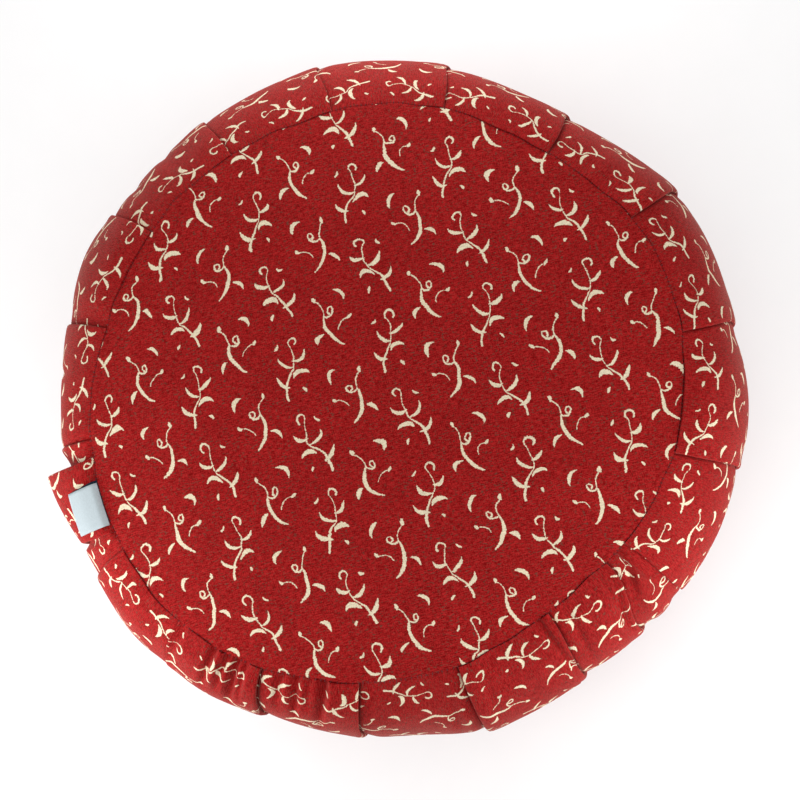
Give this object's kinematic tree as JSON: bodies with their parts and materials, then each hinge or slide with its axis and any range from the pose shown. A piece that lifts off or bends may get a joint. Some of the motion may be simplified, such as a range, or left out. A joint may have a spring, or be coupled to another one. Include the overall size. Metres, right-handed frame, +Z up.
{
  "type": "zafu meditation cushion",
  "caption": "Round, firmly filled floor cushion of printed red linen with a pleated side band, a low crown, a carry strap and a folded blank label.",
  "frame": {"origin": "centre of the flat underside, on the floor", "axes": "+Z up through the crown, -Y towards the carry strap, +X to the right of the strap seen from in front of it"},
  "size_m": [0.3569, 0.3623, 0.15],
  "materials": {
    "red_linen": "matt plain-weave linen, dyed red and printed in cream",
    "label_satin": "smooth woven label, blank, with a navy back"
  },
  "bodies": {
    "root": {"side_band": "red_linen", "top_panel": "red_linen", "bottom_panel": "red_linen", "carry_strap": "red_linen", "label": "label_satin"}
  },
  "joints": []
}
